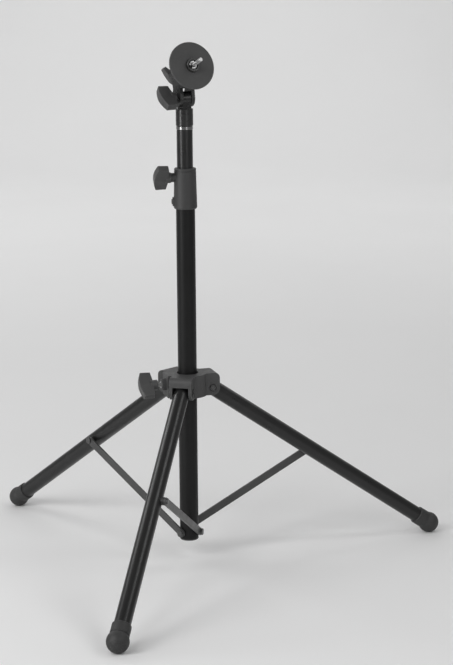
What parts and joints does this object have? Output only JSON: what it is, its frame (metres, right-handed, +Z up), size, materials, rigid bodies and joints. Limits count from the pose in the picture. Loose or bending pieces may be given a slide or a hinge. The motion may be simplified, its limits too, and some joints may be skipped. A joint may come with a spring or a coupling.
{
  "type": "folding tripod stand",
  "caption": "Folding tripod stand with a telescoping mast, a clamp collar and a tilting round platform with a threaded stud, for a small camera.",
  "frame": {"origin": "on the floor, on the axis of the post", "axes": "+Z up along the post and mast; one leg points along -Y, the others at 30 and 150 degrees from +X"},
  "size_m": [0.7612, 0.6638, 0.8305],
  "materials": {
    "post_tube": "powder coat, flatter than the legs",
    "black_tube": "satin powder coat",
    "strut_enamel": "satin enamel",
    "black_plastic": "moulded, fine texture",
    "knob_plastic": "moulded, satin",
    "pad_rubber": "matt, faint grain",
    "foot_rubber": "matt",
    "bright_chrome": "polished",
    "zinc_steel": "zinc plated",
    "black_steel": "black oxide",
    "ring_black": "black, machined",
    "head_plastic": "moulded, semi-gloss",
    "collar_plastic": "moulded, fine texture",
    "insert_steel": "turned",
    "plate_metal": "black satin",
    "spacer_nylon": "nylon, black"
  },
  "bodies": {
    "post": {"lower_tube": "post_tube", "post_plug": "black_plastic", "strut_foot_bolts": "black_steel", "strut_foot_washers": "spacer_nylon", "clamp_collar": "collar_plastic", "collar_insert": "insert_steel", "collar_fixing_screw": "black_steel"},
    "mast": {"mast_tube": "black_tube", "mast_bush": "spacer_nylon", "bright_ring": "bright_chrome"},
    "collar_knob": {"collar_knob_grip": "knob_plastic", "collar_knob_screw": "zinc_steel"},
    "head": {"head_stub": "head_plastic"},
    "platform": {"tilt_yoke": "head_plastic", "tilt_nut": "zinc_steel", "disc_plate": "plate_metal", "disc_pad": "pad_rubber", "stud_ring": "ring_black"},
    "tilt_knob": {"tilt_knob_grip": "knob_plastic", "tilt_bolt": "zinc_steel"},
    "stud_knob": {"stud_knob_grip": "knob_plastic", "stud": "zinc_steel", "stud_clip": "bright_chrome"},
    "strut_front": {"strut_bar_front": "strut_enamel"},
    "leg_front": {"leg_tube_front": "black_tube", "leg_plug_front": "black_plastic", "leg_foot_front": "foot_rubber", "strut_spacer_front": "spacer_nylon", "strut_bolt_front": "black_steel"},
    "hub": {"hub_body": "black_plastic", "hub_insert": "insert_steel", "pivot_bolts": "black_steel", "pivot_nuts": "black_steel"},
    "hub_knob": {"hub_knob_grip": "knob_plastic", "hub_knob_screw": "zinc_steel"},
    "leg_left": {"leg_tube_left": "black_tube", "leg_plug_left": "black_plastic", "leg_foot_left": "foot_rubber", "strut_spacer_left": "spacer_nylon"},
    "strut_left": {"strut_bar_left": "strut_enamel", "strut_bolt_left": "black_steel"},
    "leg_right": {"leg_tube_right": "black_tube", "leg_plug_right": "black_plastic", "leg_foot_right": "foot_rubber", "strut_spacer_right": "spacer_nylon"},
    "strut_right": {"strut_bar_right": "strut_enamel", "strut_bolt_right": "black_steel"}
  },
  "joints": [
    {"name": "fold", "type": "hinge", "parent": "post", "child": "strut_front", "pos_m": [0, 0, 0.0444], "axis": [-1, 0, 0], "range_deg": [0, 48.7]},
    {"name": "strut_on_leg_front", "type": "hinge", "parent": "strut_front", "child": "leg_front", "pos_m": [0, -0.21344, 0.16104], "axis": [1, 0, 0], "range_deg": [0, 98.8]},
    {"name": "hub_on_leg_front", "type": "hinge", "parent": "leg_front", "child": "hub", "pos_m": [0, -0.0365, 0.28493], "axis": [-1, 0, 0], "range_deg": [0, 50.1]},
    {"name": "leg_left_fold", "type": "hinge", "parent": "hub", "child": "leg_left", "pos_m": [-0.03161, 0.01825, 0.28493], "axis": [-0.5, -0.866, 0], "range_deg": [0, 50.1]},
    {"name": "strut_left_fold", "type": "hinge", "parent": "post", "child": "strut_left", "pos_m": [0, 0, 0.0444], "axis": [0.5, 0.866, 0], "range_deg": [0, 48.7]},
    {"name": "leg_right_fold", "type": "hinge", "parent": "hub", "child": "leg_right", "pos_m": [0.03161, 0.01825, 0.28493], "axis": [-0.5, 0.866, 0], "range_deg": [0, 50.1]},
    {"name": "strut_right_fold", "type": "hinge", "parent": "post", "child": "strut_right", "pos_m": [0, 0, 0.0444], "axis": [0.5, -0.866, 0], "range_deg": [0, 48.7]},
    {"name": "mast_slide", "type": "slide", "parent": "post", "child": "mast", "axis": [0, 0, 1], "range_m": [-0.055, 0.3]},
    {"name": "head_swivel", "type": "hinge", "parent": "mast", "child": "head", "pos_m": [0, 0, 0.715], "axis": [0, 0, 1], "continuous": true},
    {"name": "head_tilt", "type": "hinge", "parent": "head", "child": "platform", "pos_m": [0, 0, 0.7456], "axis": [-0.7604, -0.6494, 0], "range_deg": [-70, 50]},
    {"name": "collar_knob_turn", "type": "hinge", "parent": "post", "child": "collar_knob", "pos_m": [-0.02579, -0.01258, 0.6215], "axis": [-0.8988, -0.4384, 0], "range_deg": [0, 450]},
    {"name": "hub_knob_turn", "type": "hinge", "parent": "hub", "child": "hub_knob", "pos_m": [-0.05066, -0.02925, 0.29213], "axis": [-0.866, -0.5, 0], "range_deg": [0, 450]},
    {"name": "tilt_knob_turn", "type": "hinge", "parent": "platform", "child": "tilt_knob", "pos_m": [-0.01574, -0.01344, 0.7456], "axis": [-0.7604, -0.6494, 0], "range_deg": [0, 450]},
    {"name": "stud_knob_turn", "type": "hinge", "parent": "platform", "child": "stud_knob", "pos_m": [0.01853, -0.02169, 0.79582], "axis": [-0.6103, 0.7145, -0.342], "range_deg": [0, 450]}
  ],
  "couplings": [
    {"joint": "strut_on_leg_front", "follows": "fold", "ratio": 2.0273},
    {"joint": "hub_on_leg_front", "follows": "fold", "ratio": 1.0273},
    {"joint": "leg_left_fold", "follows": "fold", "ratio": 1.0273},
    {"joint": "strut_left_fold", "follows": "fold", "ratio": 1},
    {"joint": "leg_right_fold", "follows": "fold", "ratio": 1.0273},
    {"joint": "strut_right_fold", "follows": "fold", "ratio": 1}
  ]
}
